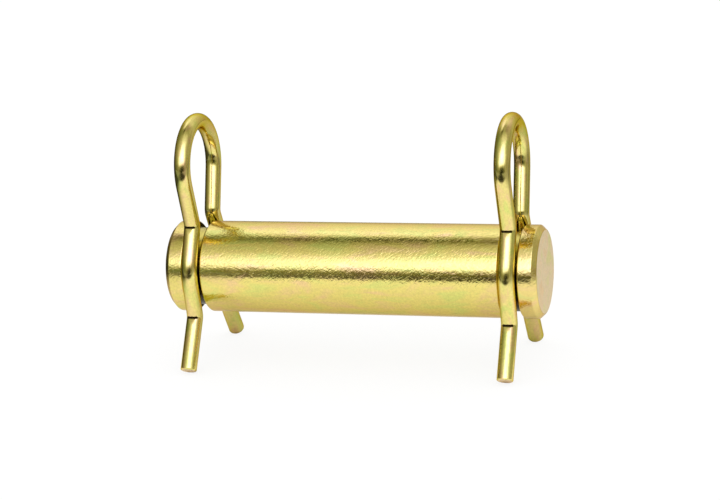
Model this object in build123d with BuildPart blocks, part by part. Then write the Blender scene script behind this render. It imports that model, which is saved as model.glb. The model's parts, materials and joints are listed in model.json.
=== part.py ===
"""Hydraulic cylinder pin: a turned steel pin held by a bent wire clip in a groove at each end.

The pin lies along X with its middle at the origin. The clips stand upright in the planes of the
grooves, eye loops up (+Z), and the whole part stands on the four flared tips of their legs.
All sizes are in millimetres and all angles in degrees.
"""

import os
from math import asin, atan2, cos, degrees, hypot, radians, sin

from build123d import *

# Driving sizes of the pin
pin_diameter = 25.4
grip_length = 84.6  # plain shank between the two grooves
end_land = 5.4  # collar of metal left outside each groove
end_chamfer = 1.3
groove_depth = 1.9
groove_corner = 0.3  # bevel that the grooving tool leaves in the corners of the bottom
lip_chamfer = 0.45  # edge break on each lip of a groove

# Driving sizes of a clip; lengths and rises are measured on the middle of the wire
wire_diameter = 4.5
eye_inside = 19.7  # clear diameter of the eye loop
eye_rise = 15.5  # from the neck kinks up to the middle of the eye
upper_length = 8.8  # straight wire from the bow up to the neck kink
upper_lean = 26.0  # how far that run leans in over the pin
lower_length = 9.5  # straight wire from the bow down to the lower kink
lower_lean = 8.8  # how far that run leans in under the pin
tip_length = 15.6  # flared tip below the lower kink
tip_flare = 32.0
kink_inside = 0.5  # bend radius on the inner side of a kink
tip_chamfer = 0.4  # broken edge round the sheared end of a tip

# Clearances between wire and groove
side_gap = 0.15  # on each side of the wire
bow_gap = 0.15  # between the bow and the bottom of the groove

# The turned profile
pin_radius = pin_diameter / 2
groove_bottom = pin_radius - groove_depth
groove_inner = grip_length / 2
groove_outer = groove_inner + wire_diameter + 2 * side_gap
groove_middle = (groove_inner + groove_outer) / 2
pin_end = groove_outer + end_land

# The wire's centreline, as distances across from the plane of symmetry and heights over the axis
wire_radius = wire_diameter / 2
kink_radius = kink_inside + wire_radius
eye_radius = eye_inside / 2 + wire_radius
bow_radius = groove_bottom + bow_gap + wire_radius


def polar_point(start, run, lean):
    """Point at the end of a run that climbs from start and leans outwards by lean degrees."""
    return (start[0] + run * sin(radians(lean)), start[1] + run * cos(radians(lean)))


bow_corner_distance = bow_radius / cos(radians((upper_lean + lower_lean) / 2))
bow_corner = polar_point((0, 0), bow_corner_distance, 90 - (upper_lean - lower_lean) / 2)
bow_top = polar_point((0, 0), bow_radius, 90 - upper_lean)
bow_foot = polar_point((0, 0), bow_radius, 90 + lower_lean)
neck = polar_point(bow_top, upper_length, -upper_lean)
lower_kink = polar_point(bow_foot, -lower_length, lower_lean)
tip = polar_point(lower_kink, -tip_length, -tip_flare)
eye_height = neck[1] + eye_rise
# The straight wire over the neck touches the eye's circle where it leans by this much
shoulder_lean = degrees(asin(eye_radius / hypot(neck[0], eye_rise)) - atan2(neck[0], eye_rise))


def bent_clip(groove_x):
    """One clip of round spring wire, bent in the plane of the groove whose middle is at groove_x."""
    with BuildPart() as clip:
        with BuildLine(Plane.YZ.offset(groove_x)) as leg:
            CenterArc((0, eye_height), eye_radius, 90, -90 - shoulder_lean)
            shoulder = (
                eye_radius * cos(radians(shoulder_lean)),
                eye_height - eye_radius * sin(radians(shoulder_lean)),
            )
            FilletPolyline(
                shoulder, neck, bow_corner, lower_kink, tip,
                radius=[kink_radius, bow_radius, kink_radius],
            )
        with BuildSketch(Plane(origin=leg.line @ 0, z_dir=leg.line % 0)):
            Circle(wire_radius)
        sweep(path=leg.line)
        sheared_end = clip.faces().sort_by(Axis.Z)[0]
        chamfer(sheared_end.edges(), tip_chamfer)
        mirror(about=Plane.XZ)
    return clip


# The pin, turned from bar: half its outline, mirrored end for end and revolved
with BuildPart() as pin:
    with BuildSketch(Plane.XZ) as outline:
        with BuildLine():
            Polyline(
                (0, 0),
                (0, pin_radius),
                (groove_inner - lip_chamfer, pin_radius),
                (groove_inner, pin_radius - lip_chamfer),
                (groove_inner, groove_bottom),
                (groove_outer, groove_bottom),
                (groove_outer, pin_radius - lip_chamfer),
                (groove_outer + lip_chamfer, pin_radius),
                (pin_end - end_chamfer, pin_radius),
                (pin_end, pin_radius - end_chamfer),
                (pin_end, 0),
                close=True,
            )
        make_face()
        chamfer(outline.vertices().filter_by_position(Axis.Y, groove_bottom, groove_bottom), groove_corner)
        mirror(about=Plane.YZ)
    revolve(axis=Axis.X)

left_clip = bent_clip(-groove_middle)
right_clip = bent_clip(groove_middle)

pin.part.label = "pin"
left_clip.part.label = "left_clip"
right_clip.part.label = "right_clip"

os.makedirs("parts", exist_ok=True)
export_step(pin.part, "parts/pin.step")
export_step(left_clip.part, "parts/left_clip.step")
export_step(right_clip.part, "parts/right_clip.step")
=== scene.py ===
"""Hydraulic cylinder pin with its two wire clips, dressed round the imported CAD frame.

The panel "Cylinder pin" in the 3D view's sidebar lists the sizes and finishes, and one button
for each group of pieces. Run as a script it makes all of them in order.
"""

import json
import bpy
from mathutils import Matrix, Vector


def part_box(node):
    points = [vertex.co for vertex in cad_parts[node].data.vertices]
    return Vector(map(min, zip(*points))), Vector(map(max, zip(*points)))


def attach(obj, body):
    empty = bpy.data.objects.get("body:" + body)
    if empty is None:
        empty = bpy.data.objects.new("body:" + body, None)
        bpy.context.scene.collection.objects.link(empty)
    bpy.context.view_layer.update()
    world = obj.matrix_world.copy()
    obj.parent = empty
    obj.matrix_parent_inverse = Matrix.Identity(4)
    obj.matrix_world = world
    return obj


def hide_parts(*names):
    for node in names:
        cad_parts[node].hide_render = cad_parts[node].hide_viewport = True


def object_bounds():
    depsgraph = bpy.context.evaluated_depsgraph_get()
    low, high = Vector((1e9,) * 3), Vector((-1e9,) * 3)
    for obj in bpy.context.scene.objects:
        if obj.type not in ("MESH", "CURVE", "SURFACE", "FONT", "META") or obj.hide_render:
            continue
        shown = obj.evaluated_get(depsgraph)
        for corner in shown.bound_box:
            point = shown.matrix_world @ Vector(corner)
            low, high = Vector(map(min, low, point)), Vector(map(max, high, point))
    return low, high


bl_info = {
    "name": "Hydraulic Cylinder Pin",
    "version": (1, 0, 0),
    "blender": (4, 5, 0),
    "location": "3D View > Sidebar > Cylinder Pin",
    "description": "A turned steel pin held by two bent wire clips, in yellow zinc",
    "category": "Object",
}

from math import asin, atan2, ceil, copysign, cos, degrees, hypot, pi, radians, sin, tan

import bpy
from bpy.props import FloatProperty, FloatVectorProperty, IntProperty, PointerProperty
from mathutils import Matrix, Vector

MM = 0.001

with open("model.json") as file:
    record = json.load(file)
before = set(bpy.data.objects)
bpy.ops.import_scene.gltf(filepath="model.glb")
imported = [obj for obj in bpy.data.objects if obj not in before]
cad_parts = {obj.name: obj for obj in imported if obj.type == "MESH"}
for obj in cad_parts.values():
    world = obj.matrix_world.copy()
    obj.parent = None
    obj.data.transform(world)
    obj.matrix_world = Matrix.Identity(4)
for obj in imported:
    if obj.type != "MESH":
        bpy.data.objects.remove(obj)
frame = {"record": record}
cad_low, cad_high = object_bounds()
_, pin_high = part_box("pin")
clip_low, clip_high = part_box("right_clip")
shank = next(m for m in frame["record"]["mounts"] if m["name"] == "shank")
groove_middle = (clip_low.x + clip_high.x) / 2
wire_thickness = clip_high.x - clip_low.x


def linear(hex_colour):
    """An sRGB hex value as linear red, green and blue."""
    channels = (int(hex_colour[i : i + 2], 16) / 255 for i in (1, 3, 5))
    return tuple(c / 12.92 if c <= 0.04045 else ((c + 0.055) / 1.055) ** 2.4 for c in channels)


def length(name, description, default):
    """A setting in metres."""
    return FloatProperty(
        name=name, description=description, default=default, min=0, unit="LENGTH", precision=5
    )


def colour(name, description, hex_colour):
    """A colour setting, given as an sRGB hex value."""
    return FloatVectorProperty(
        name=name, description=description, default=linear(hex_colour), size=3, min=0, max=1, subtype="COLOR"
    )


def angle(name, description, degrees_default):
    """A setting in radians, given in degrees."""
    return FloatProperty(
        name=name, description=description, default=radians(degrees_default), subtype="ANGLE"
    )


# ---------------------------------------------------------------------------- sizes and finishes


class PinSizes(bpy.types.PropertyGroup):
    """The turned pin"""

    radius: length("Radius", "Radius of the shank", shank["dims"]["r_mm"] * MM)
    half_length: length("Half length", "From the middle of the pin to an end face", pin_high.x)
    end_chamfer: length("End chamfer", "Chamfer at each end", 1.3 * MM)
    groove_width: length("Groove width", "Width of a clip groove at its bottom", wire_thickness + 0.3 * MM)
    groove_depth: length("Groove depth", "Depth of a clip groove", 1.9 * MM)
    groove_corner: length("Groove corner", "Bevel left in the corners of the groove's bottom", 0.3 * MM)
    lip_chamfer: length("Lip chamfer", "Edge break on each lip of a groove", 0.45 * MM)
    edge_break: length("Edge break", "Width of the fine rounding on each edge", 0.36 * MM)
    segments: IntProperty(name="Segments", description="Facets round the pin", default=128, min=24)


class ClipSizes(bpy.types.PropertyGroup):
    """A bent wire clip, measured on the middle of its wire"""

    wire_diameter: length("Wire", "Diameter of the spring wire", wire_thickness)
    eye_inside: length("Eye inside", "Clear diameter of the eye loop", 19.7 * MM)
    eye_rise: length("Eye rise", "From the neck kinks up to the middle of the eye", 15.5 * MM)
    upper_length: length("Upper run", "Straight wire from the bow up to the neck kink", 8.8 * MM)
    upper_lean: angle("Upper lean", "How far the upper run leans in over the pin", 26)
    lower_length: length("Lower run", "Straight wire from the bow down to the lower kink", 9.5 * MM)
    lower_lean: angle("Lower lean", "How far the lower run leans in under the pin", 8.8)
    tip_length: length("Tip", "Flared tip below the lower kink", 15.6 * MM)
    tip_flare: angle("Tip flare", "How far the tip flares out", 32)
    kink_inside: length("Kink inside", "Bend radius on the inner side of a kink", 0.5 * MM)
    bow_gap: length("Bow gap", "Play between the bow and the bottom of the groove", 0.15 * MM)
    tip_rounding: length("Tip rounding", "Rounding of a sheared tip", 0.4 * MM)
    die_bite: length("Die bite", "How deep the corner of the bending die bites into each kink", 0.42 * MM)
    die_facet: length("Die facet", "How far the die's flat runs down the wire from the kink", 1.3 * MM)
    die_nose: length("Die nose", "Radius of the round nick that the die presses over its flat", 0.34 * MM)
    segments: IntProperty(name="Segments", description="Facets round the wire", default=40, min=12)


class ZincFinish(bpy.types.PropertyGroup):
    """Yellow passivate on bright zinc plate"""

    gold: colour("Gold", "The passivate on the turned pin", "#E9D87E")
    wire_gold: colour("Wire gold", "The passivate on the brighter wire", "#EADA86")
    green: colour("Green tinge", "Where the film turns greenish", "#D8DA7C")
    rose: colour("Rose tinge", "Where the film turns pinkish", "#ECC992")
    pale: colour("Pale face", "Film on the cut end faces", "#EAD7B4")
    groove: colour("Groove", "Film on the grooves' bottom", "#D8C862")
    # painted shade: the nearly black colour painted in the kinks' nicks, on the grooves' walls and low in the
    # grooves' bottom
    painted_shade: colour("Crease", "Nearly black film in the nicks and on groove walls", "#2E2410")
    edge_tint: colour("Edge tint", "Colour of the film seen along the surface", "#FCE8D2")
    wire_edge_tint: colour("Wire edge tint", "Colour of the wire's film seen along the surface", "#DEC878")
    cloud_size: length("Cloud size", "Width of the tinges' clouds on the pin", 4.2 * MM)
    wire_cloud_size: length("Wire cloud size", "Width of the clouds on the wire", 2.3 * MM)
    grain_size: length("Grain size", "Spacing of the satin grain on the turned pin", 0.62 * MM)


class StageSettings(bpy.types.PropertyGroup):
    """Camera and floor"""

    azimuth: angle("Azimuth", "Camera's turn round the object", 17.38)
    elevation: angle("Elevation", "Camera's height over the horizon", 14.74)
    roll: angle("Roll", "Camera's tilt about its own axis", -3.66)
    distance: length("Distance", "From the camera to the point it looks at", 591.1 * MM)
    lens: FloatProperty(
        name="Lens", description="Focal length in millimetres", default=107.5, min=1, unit="CAMERA"
    )
    aim: FloatVectorProperty(
        name="Aim", description="The point the camera looks at", default=(0.81 * MM, 0, 5.26 * MM), size=3,
        unit="LENGTH", subtype="TRANSLATION",
    )
    floor: colour("Floor", "Matt white paper", "#F4F4F2")


def scene_settings():
    return bpy.context.scene.cylinder_pin


class CylinderPinSettings(bpy.types.PropertyGroup):
    """All that a user would change"""

    pin: PointerProperty(type=PinSizes, name="Pin", description="Sizes of the turned pin")
    clip: PointerProperty(type=ClipSizes, name="Clip", description="Sizes of a wire clip")
    finish: PointerProperty(type=ZincFinish, name="Finish", description="Colours and grain of the plate")
    stage: PointerProperty(type=StageSettings, name="Stage", description="Camera and floor")


# ---------------------------------------------------------------------------- mesh helpers


def clear_selection():
    if bpy.context.mode != "OBJECT":
        bpy.ops.object.mode_set(mode="OBJECT")
    bpy.ops.object.select_all(action="DESELECT")


def pick(obj):
    clear_selection()
    obj.select_set(True)
    bpy.context.view_layer.objects.active = obj


def apply_modifier(kind, **settings):
    """Adds a modifier to the active object and applies it."""
    modifier = bpy.context.object.modifiers.new(kind.title(), kind)
    for name, value in settings.items():
        setattr(modifier, name, value)
    bpy.ops.object.modifier_apply(modifier=modifier.name)


def select_vertices(test):
    """In edit mode, selects the vertices whose place passes the test, and what lies between them."""
    bpy.ops.mesh.select_all(action="DESELECT")
    bpy.ops.object.mode_set(mode="OBJECT")
    mesh = bpy.context.object.data
    for vertex in mesh.vertices:
        vertex.select = test(vertex.co)
    bpy.ops.object.mode_set(mode="EDIT")
    # a change of select mode carries the selection over to edges and faces
    bpy.ops.mesh.select_mode(type="EDGE")
    bpy.ops.mesh.select_mode(type="VERT")


def close_and_face_outwards():
    """In edit mode, merges doubles, fills the open ends and turns every face outwards."""
    bpy.ops.mesh.select_all(action="SELECT")
    bpy.ops.mesh.remove_doubles(threshold=0.002 * MM)
    bpy.ops.mesh.fill_holes(sides=0)
    bpy.ops.mesh.select_all(action="SELECT")
    bpy.ops.mesh.normals_make_consistent(inside=False)


# ---------------------------------------------------------------------------- the wire's route


def along(start, run, lean):
    """End of a run that climbs from start and leans outwards, in distance across and height."""
    return start + run * Vector((sin(lean), cos(lean)))


def wire_route(clip, pin):
    """Half of a clip's centreline from a tip up to the crown, as ("run", start, end) and
    ("bend", start, centre, turn), in distance across and height; a turn is positive towards up."""
    radius = clip.wire_diameter / 2
    kink = clip.kink_inside + radius
    eye = clip.eye_inside / 2 + radius
    bow = pin.radius - pin.groove_depth + clip.bow_gap + radius
    axis = Vector((0, 0))
    half_turn = (clip.upper_lean + clip.lower_lean) / 2
    bow_corner = along(axis, bow / cos(half_turn), pi / 2 - (clip.upper_lean - clip.lower_lean) / 2)
    neck = along(along(axis, bow, pi / 2 - clip.upper_lean), clip.upper_length, -clip.upper_lean)
    lower = along(along(axis, bow, pi / 2 + clip.lower_lean), -clip.lower_length, clip.lower_lean)
    tip = along(lower, -clip.tip_length, -clip.tip_flare)
    eye_centre = Vector((0, neck.y + clip.eye_rise))
    shoulder_lean = asin(eye / hypot(neck.x, clip.eye_rise)) - atan2(neck.x, clip.eye_rise)
    shoulder = eye_centre + eye * Vector((cos(shoulder_lean), -sin(shoulder_lean)))
    corners = (tip, lower, bow_corner, neck, shoulder)
    route, start = [], tip
    for before, corner, after, bend in zip(corners, corners[1:], corners[2:], (kink, bow, kink)):
        arriving, leaving = (corner - before).normalized(), (after - corner).normalized()
        turn = atan2(arriving.x * leaving.y - arriving.y * leaving.x, arriving.dot(leaving))
        reach = bend * tan(abs(turn) / 2)
        begins = corner - arriving * reach
        inward = copysign(bend, turn) * Vector((-arriving.y, arriving.x))
        route += [("run", start, begins), ("bend", begins, begins + inward, turn)]
        start = corner + leaving * reach
    return route + [("run", start, shoulder), ("bend", shoulder, eye_centre, pi / 2 + shoulder_lean)]


def route_place(route, across, height):
    """Length of wire from the tip to the spot of the route nearest a point, how far the point lies
    from the wire's middle, towards the left of the way up, and the length of the whole route."""
    best, travelled = None, 0.0
    here = Vector((across, height))
    for kind, start, other, *turn in route:
        if kind == "run":
            way = other - start
            span = way.length
            way /= span
            reach = min(max((here - start).dot(way), 0.0), span)
            offset = here - (start + way * reach)
            side = way.x * offset.y - way.y * offset.x
        else:
            arm, spoke = start - other, here - other
            swept = atan2(arm.x * spoke.y - arm.y * spoke.x, arm.dot(spoke)) * copysign(1, turn[0])
            span = arm.length * abs(turn[0])
            reach = min(max(swept * arm.length, 0.0), span)
            bent = reach / arm.length * copysign(1, turn[0])
            middle = other + Matrix.Rotation(bent, 2) @ arm
            offset = here - middle
            side = (arm.length - spoke.length) * copysign(1, turn[0])
        if best is None or offset.length < best[0]:
            best = (offset.length, travelled + reach, side)
        travelled += span
    return best[1], best[2], travelled


# ---------------------------------------------------------------------------- finishes


def add_node(tree, kind, inputs=(), **settings):
    """Adds a node, sets its settings, and fills each input with a value or links it to a socket."""
    node = tree.nodes.new(kind)
    for name, value in settings.items():
        setattr(node, name, value)
    for key, value in dict(inputs).items():
        if isinstance(value, bpy.types.NodeSocket):
            tree.links.new(value, node.inputs[key])
        else:
            node.inputs[key].default_value = value
    return node


def new_material(name):
    material = bpy.data.materials.new(name)
    material.use_nodes = True
    material.node_tree.nodes.clear()
    return material, material.node_tree


def finish_material(tree, shader):
    add_node(tree, "ShaderNodeOutputMaterial", {"Surface": shader.outputs[0]})


def rgba(colour_value):
    return (*colour_value, 1.0)


def mix_colour(tree, factor, first, second, blend="MIX"):
    node = tree.nodes.new("ShaderNodeMix")
    node.data_type, node.blend_type = "RGBA", blend
    for index, value in ((0, factor), (6, first), (7, second)):
        if isinstance(value, bpy.types.NodeSocket):
            tree.links.new(value, node.inputs[index])
        else:
            node.inputs[index].default_value = value
    return node.outputs[2]


def passivate_colour(tree, place, finish, base, tinge, cloud_size):
    """The film's colour: the base colour with soft rosy and greenish clouds, drawn out along the
    piece, and a fine mottle. Real mottle is finer than the 0.6 mm that it is drawn at."""
    drawn_out = add_node(tree, "ShaderNodeMapping", {"Vector": place, "Scale": (0.35, 1.0, 1.0)}).outputs[0]
    clouds = add_node(
        tree, "ShaderNodeTexNoise",
        {"Vector": drawn_out, "Scale": 1 / cloud_size, "Detail": 3.0, "Roughness": 0.55, "Distortion": 0.6},
    ).outputs["Fac"]
    mottle = add_node(
        tree, "ShaderNodeTexNoise",
        {"Vector": place, "Scale": 1 / (0.6 * MM), "Detail": 3.0, "Roughness": 0.8},
    ).outputs["Fac"]
    rosy = add_node(
        tree, "ShaderNodeMapRange",
        {"Value": clouds, "From Min": 0.52, "From Max": 0.68, "To Min": 0.0, "To Max": tinge},
    ).outputs[0]
    greenish = add_node(
        tree, "ShaderNodeMapRange",
        {"Value": clouds, "From Min": 0.48, "From Max": 0.34, "To Min": 0.0, "To Max": tinge},
    ).outputs[0]
    film = mix_colour(tree, rosy, rgba(base), rgba(finish.rose))
    film = mix_colour(tree, greenish, film, rgba(finish.green))
    shade = add_node(
        tree, "ShaderNodeMapRange",
        {"Value": mottle, "From Min": 0.3, "From Max": 0.7, "To Min": 0.84, "To Max": 1.07},
    ).outputs[0]
    return mix_colour(tree, 1.0, film, shade, "MULTIPLY")


def unrolled(tree, place):
    """The pin's skin laid flat: distance along the pin, and distance round it from the top."""
    axes = add_node(tree, "ShaderNodeSeparateXYZ", {"Vector": place}).outputs
    turned = add_node(tree, "ShaderNodeMath", {0: axes["Y"], 1: axes["Z"]}, operation="ARCTAN2").outputs[0]
    around = add_node(
        tree, "ShaderNodeMath", {0: turned, 1: scene_settings().pin.radius}, operation="MULTIPLY"
    ).outputs[0]
    return add_node(tree, "ShaderNodeCombineXYZ", {"X": axes["X"], "Y": around}).outputs[0]


def scratches(tree, skin, slant, spacing, run):
    """Sparse fine scratches at a slant to the pin's axis: 1 on a scratch and 0 between."""
    turned = add_node(tree, "ShaderNodeMapping", {"Vector": skin, "Rotation": (0, 0, slant)}).outputs[0]
    drawn = add_node(
        tree, "ShaderNodeMapping", {"Vector": turned, "Scale": (spacing / run, 1.0, 1.0)}
    ).outputs[0]
    noise = add_node(
        tree, "ShaderNodeTexNoise", {"Vector": drawn, "Scale": 1 / spacing, "Detail": 1.0, "Roughness": 0.5}
    ).outputs["Fac"]
    return add_node(
        tree, "ShaderNodeMapRange", {"Value": noise, "From Min": 0.57, "From Max": 0.68}
    ).outputs[0]


def turned_steel(finish):
    """Yellow-passivated zinc on turned bar: a satin gold whose fine grain breaks up the edges of
    reflections, with short scratches and with rosy and greenish clouds in the film."""
    material, tree = new_material("yellow_zinc_on_turned_bar")
    place = add_node(tree, "ShaderNodeTexCoord").outputs["Object"]
    skin = unrolled(tree, place)
    grain = add_node(
        tree, "ShaderNodeTexNoise",
        {"Vector": place, "Scale": 1 / finish.grain_size, "Detail": 1.5, "Roughness": 0.5},
    ).outputs["Fac"]
    waves = add_node(
        tree, "ShaderNodeTexNoise",
        {"Vector": place, "Scale": 1 / (3.0 * MM), "Detail": 1.0, "Roughness": 0.5},
    ).outputs["Fac"]
    # real scratches are about 0.02 mm wide and real grain is finer too; both are drawn coarser, the
    # scratches about 0.4 mm wide and 2 mm long, so that they show
    relief = add_node(
        tree, "ShaderNodeMath", {0: grain, 1: 2.2, 2: waves}, operation="MULTIPLY_ADD"
    ).outputs[0]
    for slant, depth in ((radians(-36), 0.6), (radians(-60), 0.35), (radians(28), 0.35)):
        scratched = scratches(tree, skin, slant, 0.38 * MM, 2.2 * MM)
        relief = add_node(
            tree, "ShaderNodeMath", {0: scratched, 1: -depth, 2: relief}, operation="MULTIPLY_ADD"
        ).outputs[0]
    bump = add_node(
        tree, "ShaderNodeBump", {"Height": relief, "Strength": 1.0, "Distance": 0.0165 * MM}
    ).outputs[0]
    rough = add_node(
        tree, "ShaderNodeMapRange",
        {"Value": grain, "From Min": 0.35, "From Max": 0.65, "To Min": 0.08, "To Max": 0.15},
    ).outputs[0]
    film = passivate_colour(tree, place, finish, finish.gold, 0.85, finish.cloud_size)
    # the last collar is rosier in the photo; the tinge is fitted to it, and its cause isn't known
    along_pin = add_node(tree, "ShaderNodeSeparateXYZ", {"Vector": place}).outputs["X"]
    on_collar = add_node(
        tree, "ShaderNodeMapRange",
        {"Value": along_pin, "From Min": groove_middle, "From Max": groove_middle + 4 * MM, "To Max": 0.3},
    ).outputs[0]
    film = mix_colour(tree, on_collar, film, rgba(finish.rose))
    shader = add_node(
        tree, "ShaderNodeBsdfPrincipled",
        {
            "Base Color": film,
            "Metallic": 1.0,
            "Roughness": rough,
            "Specular Tint": rgba(finish.edge_tint),
            "Normal": bump,
        },
    )
    finish_material(tree, shader)
    return material


def groove_film_and_painted_shade(finish):
    """Yellow-passivated zinc on the grooves' bottom: a satin gold above, and painted shade, nearly
    black, below, so the groove reads dark beside the lower half of the bright shank."""
    material, tree = new_material("yellow_zinc_and_painted_shade_in_groove")
    place = add_node(tree, "ShaderNodeTexCoord").outputs["Object"]
    # ridges of the grooving tool run round the pin, about one each 0.15 mm
    ridges = add_node(tree, "ShaderNodeMapping", {"Vector": place, "Scale": (1.0, 0.02, 0.02)}).outputs[0]
    relief = add_node(
        tree, "ShaderNodeTexNoise", {"Vector": ridges, "Scale": 1 / (0.15 * MM), "Detail": 2.0}
    ).outputs["Fac"]
    bump = add_node(
        tree, "ShaderNodeBump", {"Height": relief, "Strength": 1.0, "Distance": 0.01 * MM}
    ).outputs[0]
    # painted shade: the film is nearly black low in the groove, in place of the shadow in a wider
    # groove; the film is guessed nearly black low in the groove, in place of the shadow in a wider
    # groove
    height = add_node(tree, "ShaderNodeSeparateXYZ", {"Vector": place}).outputs["Z"]
    out_of_painted_shade = add_node(
        tree, "ShaderNodeMapRange", {"Value": height, "From Min": 0.0, "From Max": 8 * MM}
    ).outputs[0]
    film = passivate_colour(tree, place, finish, finish.groove, 0.1, finish.cloud_size)
    film = mix_colour(tree, out_of_painted_shade, rgba(finish.painted_shade), film)
    shader = add_node(
        tree, "ShaderNodeBsdfPrincipled",
        {
            "Base Color": film,
            "Metallic": 1.0,
            "Roughness": 0.26,
            "Normal": bump,
        },
    )
    finish_material(tree, shader)
    return material


def painted_crease_shade(finish):
    """Painted shade, dull and nearly black, in the kinks' nicks and on the grooves' walls. A guessed film,
    dull and nearly black, in the kinks' nicks and on the grooves' walls. On the walls it stands in for the
    shadow in a groove wider than the CAD's, and in the nicks for their own shadow."""
    material, tree = new_material("painted_shade_in_crease")
    place = add_node(tree, "ShaderNodeTexCoord").outputs["Object"]
    shader = add_node(
        tree, "ShaderNodeBsdfPrincipled",
        {
            "Base Color": passivate_colour(tree, place, finish, finish.painted_shade, 0.0, finish.cloud_size),
            "Metallic": 1.0,
            "Roughness": 0.5,
        },
    )
    finish_material(tree, shader)
    return material


def faced_end(finish):
    """Yellow-passivated zinc on the faced ends: a pale rosy beige, and a matt surface with faint
    rings such as a facing tool leaves."""
    material, tree = new_material("yellow_zinc_on_faced_end")
    place = add_node(tree, "ShaderNodeTexCoord").outputs["Object"]
    flat = add_node(tree, "ShaderNodeMapping", {"Vector": place, "Scale": (0.0, 1.0, 1.0)}).outputs[0]
    from_middle = add_node(tree, "ShaderNodeVectorMath", {0: flat}, operation="LENGTH").outputs["Value"]
    rings = add_node(
        tree, "ShaderNodeTexNoise",
        {"W": from_middle, "Scale": 1 / (0.35 * MM), "Detail": 2.0}, noise_dimensions="1D",
    ).outputs["Fac"]
    speckle = add_node(
        tree, "ShaderNodeTexNoise",
        {"Vector": place, "Scale": 1 / (0.5 * MM), "Detail": 4.0, "Roughness": 0.7},
    ).outputs["Fac"]
    relief = add_node(tree, "ShaderNodeMath", {0: rings, 1: speckle}, operation="ADD").outputs[0]
    bump = add_node(
        tree, "ShaderNodeBump", {"Height": relief, "Strength": 1.0, "Distance": 0.008 * MM}
    ).outputs[0]
    shader = add_node(
        tree, "ShaderNodeBsdfPrincipled",
        {
            "Base Color": passivate_colour(tree, place, finish, finish.pale, 0.5, finish.cloud_size),
            "Metallic": 0.5,
            "Roughness": 0.46,
            "Specular Tint": rgba(finish.edge_tint),
            "Normal": bump,
        },
    )
    finish_material(tree, shader)
    return material


def spring_wire(finish):
    """Yellow-passivated zinc on cold-drawn spring wire: a bright greenish gold, nearly mirror
    smooth, with clouds and draw lines that follow the wire round its bends."""
    material, tree = new_material("yellow_zinc_on_drawn_wire")
    straight = add_node(tree, "ShaderNodeAttribute", attribute_name="straight_wire").outputs["Vector"]
    lines = add_node(tree, "ShaderNodeMapping", {"Vector": straight, "Scale": (0.04, 1.0, 1.0)}).outputs[0]
    draw_lines = add_node(
        tree, "ShaderNodeTexNoise",
        {"Vector": lines, "Scale": 1 / (0.3 * MM), "Detail": 3.0, "Roughness": 0.6},
    ).outputs["Fac"]
    waves = add_node(
        tree, "ShaderNodeTexNoise", {"Vector": straight, "Scale": 1 / (2.2 * MM), "Detail": 2.0},
    ).outputs["Fac"]
    relief = add_node(
        tree, "ShaderNodeMath", {0: waves, 1: 2.5, 2: draw_lines}, operation="MULTIPLY_ADD"
    ).outputs[0]
    bump = add_node(
        tree, "ShaderNodeBump", {"Height": relief, "Strength": 1.0, "Distance": 0.006 * MM}
    ).outputs[0]
    rough = add_node(
        tree, "ShaderNodeMapRange",
        {"Value": draw_lines, "From Min": 0.35, "From Max": 0.65, "To Min": 0.09, "To Max": 0.15},
    ).outputs[0]
    film = passivate_colour(tree, straight, finish, finish.wire_gold, 1.0, finish.wire_cloud_size)
    shader = add_node(
        tree, "ShaderNodeBsdfPrincipled",
        {
            "Base Color": film,
            "Metallic": 1.0,
            "Roughness": rough,
            "Specular Tint": rgba(finish.wire_edge_tint),
            "Normal": bump,
        },
    )
    finish_material(tree, shader)
    return material


# ---------------------------------------------------------------------------- the pieces

# mesh.spin turns against the sense in which the wire's route counts its turns
SPIN_SENSE = -1


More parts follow.
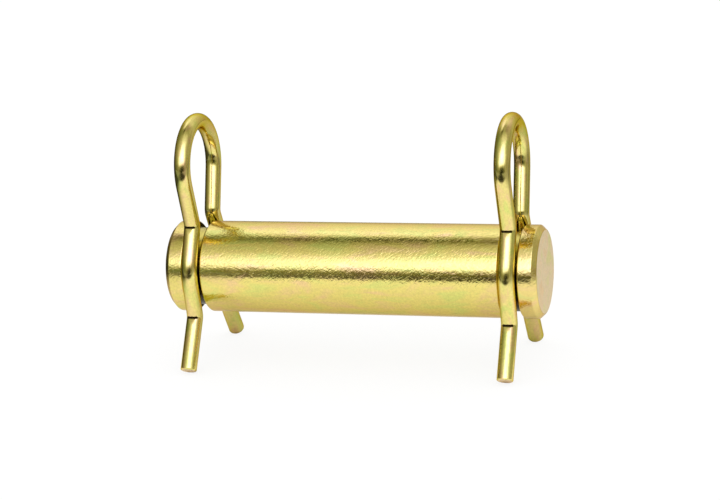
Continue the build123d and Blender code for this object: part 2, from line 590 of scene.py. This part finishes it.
class PIN_OT_turn(bpy.types.Operator):
    """Turns the pin: a disc drawn out and sized step by step, with every edge broken"""

    bl_idname = "cylinder_pin.turn_pin"
    bl_label = "Turn the Pin"

    def execute(self, context):
        settings = scene_settings()
        pin = settings.pin
        inner = groove_middle - pin.groove_width / 2
        outer = groove_middle + pin.groove_width / 2
        bottom = pin.radius - pin.groove_depth
        half = [
            (pin.half_length, pin.radius - pin.end_chamfer),
            (pin.half_length - pin.end_chamfer, pin.radius),
            (outer + pin.lip_chamfer, pin.radius),
            (outer, pin.radius - pin.lip_chamfer),
            (outer, bottom + pin.groove_corner),
            (outer - pin.groove_corner, bottom),
            (inner + pin.groove_corner, bottom),
            (inner, bottom + pin.groove_corner),
            (inner, pin.radius - pin.lip_chamfer),
            (inner - pin.lip_chamfer, pin.radius),
        ]
        outline = [(-x, r) for x, r in half] + half[::-1]
        clear_selection()
        x, radius = outline[0]
        bpy.ops.mesh.primitive_circle_add(
            vertices=pin.segments, radius=radius, fill_type="NOTHING", location=(x, 0, 0),
            rotation=(0, pi / 2, 0),
        )
        obj = context.object
        obj.name = obj.data.name = "turned_pin"
        bpy.ops.object.transform_apply()
        bpy.ops.object.mode_set(mode="EDIT")
        bpy.ops.mesh.select_all(action="SELECT")
        for next_x, next_radius in outline[1:]:
            bpy.ops.mesh.extrude_region_move(TRANSFORM_OT_translate={"value": (next_x - x, 0, 0)})
            size = next_radius / radius
            bpy.ops.transform.resize(value=(1, size, size), center_override=(next_x, 0, 0))
            x, radius = next_x, next_radius
        close_and_face_outwards()
        bpy.ops.object.mode_set(mode="OBJECT")
        apply_modifier(
            "BEVEL", width=pin.edge_break / 2, segments=3, limit_method="ANGLE", angle_limit=radians(20),
        )
        bpy.ops.object.shade_smooth()
        apply_modifier("WEIGHTED_NORMAL", keep_sharp=True)
        obj.data.materials.append(turned_steel(settings.finish))
        obj.data.materials.append(faced_end(settings.finish))
        obj.data.materials.append(groove_film_and_painted_shade(settings.finish))
        obj.data.materials.append(painted_crease_shade(settings.finish))
        for face in obj.data.polygons:
            place = face.center
            at_end = abs(place.x) > pin.half_length - 0.1 * MM
            in_groove = abs(place.x) < outer + pin.edge_break
            below_lips = hypot(place.y, place.z) < pin.radius - pin.lip_chamfer
            if at_end and abs(face.normal.x) > 0.99:
                face.material_index = 1
            # the grooves' walls get the painted shade, and their bottom the groove film, with painted shade
            # low down
            elif in_groove and below_lips:
                face.material_index = 3 if abs(face.normal.x) > 0.8 else 2
        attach(obj, "pin")
        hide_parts("pin")
        return {"FINISHED"}


class PIN_OT_bend_clips(bpy.types.Operator):
    """Bends a clip from wire, bites its kinks with the die, and sets one in each groove"""

    bl_idname = "cylinder_pin.bend_clips"
    bl_label = "Bend the Clips"

    def draw_out_half(self, context, clip, route):
        """The half clip from a tip to the crown: a ring of wire drawn along runs and spun round bends."""
        _, start, end = route[0]
        clear_selection()
        bpy.ops.mesh.primitive_circle_add(
            vertices=clip.segments, radius=clip.wire_diameter / 2, fill_type="NOTHING", location=(0, *start),
            rotation=(atan2(start.x - end.x, end.y - start.y), 0, 0),
        )
        obj = context.object
        bpy.ops.object.transform_apply()
        bpy.ops.object.mode_set(mode="EDIT")
        bpy.ops.mesh.select_all(action="SELECT")
        for kind, start, other, *turn in route:
            if kind == "run":
                steps = max(2, ceil((other - start).length / (2.2 * MM)))
                for _ in range(steps):
                    move = (0, *((other - start) / steps))
                    bpy.ops.mesh.extrude_region_move(TRANSFORM_OT_translate={"value": move})
            else:
                steps = max(8, ceil(abs(turn[0]) / radians(3)))
                bpy.ops.mesh.spin(steps=steps, angle=SPIN_SENSE * turn[0], center=(0, *other), axis=(1, 0, 0))
        bpy.ops.object.mode_set(mode="OBJECT")
        return obj

    def die_marks(self, clip, route):
        """The die's mark inside each kink, in distance across and height: its corner, the ways out
        along its wall and its flat, and the middle of the round nick."""
        marks = []
        kinks = [piece for piece in route if piece[0] == "bend"]
        for _, start, centre, turn in (kinks[0], kinks[2]):
            arm = (start - centre) * (clip.kink_inside / (start - centre).length)
            inner = centre + Matrix.Rotation(turn / 2, 2) @ arm
            outward = -arm.normalized()
            corner = inner - outward * clip.die_bite
            slope = atan2(clip.die_bite, clip.die_facet)
            wall = Matrix.Rotation(slope, 2) @ outward
            flat = Vector((wall.y, -wall.x))
            marks.append((corner, wall, flat, corner + (wall + flat) * clip.die_nose / 3))
        return marks

    def bite_kinks(self, context, obj, clip, marks):
        """Cuts the nick inside each kink, taken to be the mark of the bending die's square corner: a
        short wall above and a long flat below it, and then the round nick at the corner."""
        block = clip.wire_diameter
        blocks, noses = [], []
        for corner, wall, flat, nose in marks:
            middle = corner + (wall + flat) * (block / 2)
            for side in (-1, 1):
                clear_selection()
                bpy.ops.mesh.primitive_cube_add(
                    size=block, location=(0, side * middle.x, middle.y),
                    rotation=(side * atan2(wall.y, wall.x), 0, 0), scale=(1.5, 1, 1),
                )
                blocks.append(context.object)
                bpy.ops.mesh.primitive_cylinder_add(
                    vertices=24, radius=clip.die_nose, depth=1.5 * block, location=(0, side * nose.x, nose.y),
                    rotation=(0, pi / 2, 0),
                )
                noses.append(context.object)
        for cutters in (blocks, noses):
            self.cut_away(context, obj, cutters)

    def cut_away(self, context, obj, cutters):
        """Joins separate cutters and cuts them out of an object."""
        clear_selection()
        for cutter in cutters:
            cutter.select_set(True)
        context.view_layer.objects.active = cutters[0]
        bpy.ops.object.join()
        cutter = context.object
        bpy.ops.object.transform_apply()
        pick(obj)
        apply_modifier("BOOLEAN", operation="DIFFERENCE", solver="EXACT", object=cutter)
        bpy.data.objects.remove(cutter)

    def in_die_nick(self, face, clip, marks):
        """Whether a face is the round nick or the short wall over a die mark's flat."""
        facing = Vector((abs(face.normal.y) * copysign(1, face.normal.y * face.center.y), face.normal.z))
        here = Vector((abs(face.center.y), face.center.z))
        slack, wall_reach = 0.02 * MM, 1 * MM
        for corner, _, flat, nose in marks:
            on_wall = abs((here - corner).dot(flat)) < slack and facing.dot(flat) > 0.9
            in_nose = (here - nose).length < clip.die_nose + slack
            if in_nose or (on_wall and (here - corner).length < wall_reach):
                return True
        return False

    def lay_straight(self, obj, route, cloud_start):
        """Stores for each vertex where it lay on the straight wire before bending, so that clouds
        and draw lines follow the wire. cloud_start picks the clip's stretch of the clouds."""
        place = obj.data.attributes.new("straight_wire", "FLOAT_VECTOR", "POINT")
        for vertex, spot in zip(obj.data.vertices, place.data):
            travelled, side, whole = route_place(route, abs(vertex.co.y), vertex.co.z)
            if vertex.co.y < 0:
                travelled = 2 * whole - travelled
                side = -side
            spot.vector = (travelled + cloud_start, vertex.co.x, side)

    def execute(self, context):
        settings = scene_settings()
        clip, pin = settings.clip, settings.pin
        route = wire_route(clip, pin)
        obj = self.draw_out_half(context, clip, route)
        pick(obj)
        apply_modifier("MIRROR", use_axis=(False, True, False), merge_threshold=0.01 * MM)
        bpy.ops.object.mode_set(mode="EDIT")
        close_and_face_outwards()
        tip = route[0][1]
        outward = (route[0][1] - route[0][2]).normalized()
        select_vertices(lambda co: (Vector((abs(co.y), co.z)) - tip).dot(outward) > -0.01 * MM)
        bpy.ops.mesh.bevel(offset=clip.tip_rounding, segments=4, affect="EDGES")
        bpy.ops.object.mode_set(mode="OBJECT")
        marks = self.die_marks(clip, route)
        self.bite_kinks(context, obj, clip, marks)
        bpy.ops.object.shade_smooth_by_angle(angle=radians(28))
        apply_modifier("WEIGHTED_NORMAL", keep_sharp=True)
        obj.data.materials.clear()
        obj.data.materials.append(spring_wire(settings.finish))
        obj.data.materials.append(painted_crease_shade(settings.finish))
        obj.data.materials.append(faced_end(settings.finish))
        for face in obj.data.polygons:
            facing = Vector((copysign(face.normal.y, face.normal.y * face.center.y), face.normal.z))
            at_tip = (Vector((abs(face.center.y), face.center.z)) - tip).length < clip.wire_diameter
            if at_tip and facing.dot(outward) > 0.98:
                face.material_index = 2
            else:
                # the faces of each die nick get the painted shade
                face.material_index = int(self.in_die_nick(face, clip, marks))
        # of eight starts tried, each clip has the one whose clouds lie most like the photo's
        for body, side, cloud_start in (("left_clip", -1, 122 * MM), ("right_clip", 1, 422 * MM)):
            piece = obj.copy()
            piece.data = obj.data.copy()
            piece.name = piece.data.name = "bent_" + body
            context.scene.collection.objects.link(piece)
            self.lay_straight(piece, route, cloud_start)
            pick(piece)
            bpy.ops.transform.translate(value=(side * groove_middle, 0, 0))
            bpy.ops.object.transform_apply()
            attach(piece, body)
            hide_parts(body)
        bpy.data.objects.remove(obj)
        return {"FINISHED"}


# ---------------------------------------------------------------------------- the stage

FLOOR_SIZE = 12
TENT_RADIUS = 0.9
# How bright the tent's cloth is, in hundredths of white: one row for each elevation in degrees,
# with a value for each 20 degrees of azimuth, from the front (-Y) round by the right (+X). The
# values were tuned until the bands in the metal lay as in the photo
TENT = {
    -5: (3, 2, 15, 40, 35, 40, 45, 50, 55, 50, 50, 25, 8, 6, 14, 14, 22, 16),
    3: (5, 2, 15, 42, 35, 45, 45, 55, 60, 60, 50, 25, 8, 8, 16, 20, 30, 20),
    9: (12, 10, 30, 50, 38, 45, 45, 58, 60, 65, 60, 40, 12, 14, 20, 30, 45, 45),
    13: (80, 70, 120, 75, 45, 45, 42, 60, 62, 70, 70, 45, 14, 16, 24, 34, 65, 150),
    18: (220, 220, 190, 100, 50, 45, 38, 62, 65, 78, 85, 50, 16, 18, 28, 40, 72, 180),
    25: (280, 300, 240, 110, 50, 45, 40, 65, 70, 85, 95, 60, 18, 20, 30, 44, 78, 180),
    35: (300, 320, 260, 100, 60, 45, 50, 75, 75, 95, 105, 90, 25, 22, 32, 48, 80, 140),
    48: (220, 240, 190, 130, 85, 45, 50, 85, 85, 100, 120, 110, 45, 26, 36, 52, 68, 88),
    60: (125, 130, 120, 95, 75, 40, 40, 80, 90, 100, 130, 150, 110, 28, 34, 52, 60, 90),
    68: (95, 100, 95, 75, 60, 40, 40, 60, 74, 78, 110, 135, 100, 22, 24, 44, 58, 85),
    74: (85, 85, 75, 60, 50, 38, 38, 42, 45, 48, 45, 32, 20, 2, 12, 40, 55, 80),
    90: (45,) * 18,
}
# Guessed colours of the light: the lit cloth is cool, and the unlit cloth and the dim painted floor are warm.
# The first is bluer than any hex colour can be
LAMP_TINT = (1.0, 1.0, 1.3)
CLOTH_TINT = linear("#FFFCB8")
PAINTED_DIM_TINT = linear("#FFFCE1")
WHITE = linear("#FFFFFF")
# What the metal mirrors in the floor is painted light and shade: a painted pool of light a little larger
# than the object, the pin's painted shadow from under its front backwards, and a dim painted floor round
# them. Each edge is a fade: its axis, where it starts and ends in metres, and the brightness there
PAINTED_POOL_LEFT = ("X", -0.175, -0.045, 0.06, 1.0)
PAINTED_POOL_RIGHT = ("X", 0.09, 0.28, 1.0, 0.4)
PAINTED_PIN_SHADOW = ("Y", -0.014, 0.04, 1.0, 0.6)
PAINTED_POOL_FRONT = ("Y", -0.155, -0.118, 0.0, 1.0)
PAINTED_DIM_LEFT = ("X", -0.30, 0.0, 0.32, 0.04)
PAINTED_DIM_RIGHT = ("X", 0.08, 0.30, 0.0, 0.35)


def tent_strength(azimuth, elevation):
    """Brightness of the tent's cloth in a direction, in degrees, eased between the table's values."""
    rows = sorted(TENT)
    elevation = min(max(elevation, rows[0]), rows[-1])
    upper = next(row for row in rows if row >= elevation)
    lower = max([row for row in rows if row < elevation], default=upper)
    column, across = divmod(azimuth / 20, 1)
    first, second = int(column) % 18, (int(column) + 1) % 18
    across = across * across * (3 - 2 * across)
    up = (elevation - lower) / (upper - lower) if upper > lower else 0.0
    low = TENT[lower][first] + (TENT[lower][second] - TENT[lower][first]) * across
    high = TENT[upper][first] + (TENT[upper][second] - TENT[upper][first]) * across
    return (low + (high - low) * up) / 100


class PIN_OT_set_stage(bpy.types.Operator):
    """Sets the white world, the paper floor, the light tent and the camera"""

    bl_idname = "cylinder_pin.set_stage"
    bl_label = "Set the Stage"

    def white_world(self, context):
        """White to the camera, and plain soft light on matt surfaces. The tent hides it from metal."""
        world = bpy.data.worlds.new("white_studio")
        context.scene.world = world
        world.use_nodes = True
        tree = world.node_tree
        tree.nodes.clear()
        rays = add_node(tree, "ShaderNodeLightPath").outputs
        seen = add_node(
            tree, "ShaderNodeMath", {0: rays["Is Camera Ray"], 1: rays["Is Glossy Ray"]}, operation="MAXIMUM"
        ).outputs[0]
        seen = add_node(
            tree, "ShaderNodeMath", {0: seen, 1: rays["Is Transmission Ray"]}, operation="MAXIMUM"
        ).outputs[0]
        strength = add_node(
            tree, "ShaderNodeMapRange", {"Value": seen, "To Min": 1.3, "To Max": 1.0}
        ).outputs[0]
        sky = add_node(tree, "ShaderNodeBackground", {"Color": rgba(WHITE), "Strength": strength})
        add_node(tree, "ShaderNodeOutputWorld", {"Surface": sky.outputs[0]})

    def paper_floor(self, context, stage):
        """Matt white paper that shows near white and keeps the object's soft shadow."""
        clear_selection()
        bpy.ops.mesh.primitive_grid_add(
            x_subdivisions=2, y_subdivisions=2, size=FLOOR_SIZE, location=(0, 0, cad_low.z)
        )
        floor = context.object
        floor.name = "paper_floor"
        bpy.ops.object.transform_apply()
        material, tree = new_material("matt_white_paper")
        rays = add_node(tree, "ShaderNodeLightPath").outputs
        place = add_node(tree, "ShaderNodeTexCoord").outputs["Object"]
        axes = add_node(tree, "ShaderNodeSeparateXYZ", {"Vector": place}).outputs

        def fade(edge):
            axis, start, end, first, last = edge
            return add_node(
                tree, "ShaderNodeMapRange",
                {"Value": axes[axis], "From Min": start, "From Max": end, "To Min": first, "To Max": last},
                interpolation_type="SMOOTHSTEP",
            ).outputs[0]

        # table is the dim painted floor round the pool, and lit is the painted pool of light with the pin's
        # painted shadow
        table = add_node(
            tree, "ShaderNodeMath", {0: fade(PAINTED_DIM_LEFT), 1: fade(PAINTED_DIM_RIGHT)}, operation="ADD"
        ).outputs[0]
        lit = fade(PAINTED_POOL_LEFT)
        for edge in (PAINTED_POOL_RIGHT, PAINTED_PIN_SHADOW):
            lit = add_node(tree, "ShaderNodeMath", {0: lit, 1: fade(edge)}, operation="MULTIPLY").outputs[0]
        lit = add_node(
            tree, "ShaderNodeMapRange", {"Value": fade(PAINTED_POOL_FRONT), "To Min": table, "To Max": lit}
        ).outputs[0]
        # only the camera sees the whole floor as white paper, and metal mirrors the painted light and shade
        lit = add_node(
            tree, "ShaderNodeMath", {0: lit, 1: rays["Is Camera Ray"]}, operation="MAXIMUM"
        ).outputs[0]
        warmth = mix_colour(tree, lit, rgba(PAINTED_DIM_TINT), rgba(WHITE))
        colour_there = mix_colour(tree, 1.0, rgba(stage.floor), lit, "MULTIPLY")
        colour_there = mix_colour(tree, 1.0, colour_there, warmth, "MULTIPLY")
        paper = add_node(tree, "ShaderNodeBsdfDiffuse", {"Color": colour_there})
        glow = add_node(tree, "ShaderNodeEmission", {"Color": rgba(WHITE), "Strength": 1.0})
        # mostly plain white to the camera, and the rest paper, which keeps a soft shadow
        seen = add_node(
            tree, "ShaderNodeMath", {0: rays["Is Camera Ray"], 1: 0.85}, operation="MULTIPLY"
        ).outputs[0]
        mixed = add_node(tree, "ShaderNodeMixShader", {0: seen, 1: paper.outputs[0], 2: glow.outputs[0]})
        finish_material(tree, mixed)
        floor.data.materials.append(material)

    def light_tent(self, context):
        """A round tent of cloth, lit unevenly from outside, which is all that the metal mirrors
        above the floor. The camera doesn't see it and it casts no shadow."""
        clear_selection()
        bpy.ops.mesh.primitive_uv_sphere_add(
            segments=120, ring_count=60, radius=TENT_RADIUS, location=(0, 0, 0)
        )
        tent = context.object
        tent.name = "light_tent"
        strength = tent.data.attributes.new("strength", "FLOAT", "POINT")
        for vertex in tent.data.vertices:
            x, y, z = vertex.co
            azimuth = degrees(atan2(x, -y)) % 360
            elevation = degrees(asin(max(-1, min(1, z / TENT_RADIUS))))
            strength.data[vertex.index].value = tent_strength(azimuth, elevation)
        material, tree = new_material("tent_cloth")
        stored = add_node(tree, "ShaderNodeAttribute", attribute_name="strength").outputs["Fac"]
        coolness = add_node(
            tree, "ShaderNodeMapRange", {"Value": stored, "From Min": 0.1, "From Max": 1.5}
        ).outputs[0]
        tint = mix_colour(tree, coolness, rgba(CLOTH_TINT), rgba(LAMP_TINT))
        shader = add_node(tree, "ShaderNodeEmission", {"Color": tint, "Strength": stored})
        finish_material(tree, shader)
        tent.data.materials.append(material)
        tent.visible_camera = tent.visible_shadow = tent.visible_diffuse = False

    def place_camera(self, context, stage):
        """Aims the camera from its azimuth, elevation and distance, and rolls it."""
        bpy.ops.object.camera_add()
        camera = context.object
        camera.name = "camera"
        camera.data.lens = stage.lens
        camera.data.sensor_width = 36
        away = Vector(
            (
                sin(stage.azimuth) * cos(stage.elevation),
                -cos(stage.azimuth) * cos(stage.elevation),
                sin(stage.elevation),
            )
        )
        level = (-away).cross(Vector((0, 0, 1))).normalized()
        upright = level.cross(-away)
        right = level * cos(stage.roll) + upright * sin(stage.roll)
        up = upright * cos(stage.roll) - level * sin(stage.roll)
        turned = Matrix((right, up, away)).transposed()
        camera.matrix_world = Matrix.Translation(Vector(stage.aim) + away * stage.distance) @ turned.to_4x4()
        context.scene.camera = camera

    def execute(self, context):
        stage = scene_settings().stage
        context.scene.view_settings.view_transform = "Standard"
        self.white_world(context)
        self.paper_floor(context, stage)
        self.light_tent(context)
        self.place_camera(context, stage)
        return {"FINISHED"}


# ---------------------------------------------------------------------------- the add-on


class PIN_PT_panel(bpy.types.Panel):
    """Sizes, finishes and buttons"""

    bl_idname = "PIN_PT_panel"
    bl_label = "Cylinder Pin"
    bl_space_type = "VIEW_3D"
    bl_region_type = "UI"
    bl_category = "Cylinder Pin"

    def draw(self, context):
        settings = scene_settings()
        for group, operator in (
            (settings.pin, PIN_OT_turn), (settings.clip, PIN_OT_bend_clips),
            (settings.finish, None), (settings.stage, PIN_OT_set_stage),
        ):
            box = self.layout.box()
            for name in group.__annotations__:
                box.prop(group, name)
            if operator:
                box.operator(operator.bl_idname)


CLASSES = (
    PinSizes, ClipSizes, ZincFinish, StageSettings, CylinderPinSettings,
    PIN_OT_turn, PIN_OT_bend_clips, PIN_OT_set_stage, PIN_PT_panel,
)


def register():
    for cls in CLASSES:
        bpy.utils.register_class(cls)
    bpy.types.Scene.cylinder_pin = PointerProperty(type=CylinderPinSettings)


def unregister():
    del bpy.types.Scene.cylinder_pin
    for cls in reversed(CLASSES):
        bpy.utils.unregister_class(cls)


def main():
    register()
    bpy.ops.cylinder_pin.turn_pin()
    bpy.ops.cylinder_pin.bend_clips()
    bpy.ops.cylinder_pin.set_stage()


if __name__ == "__main__":
    main()
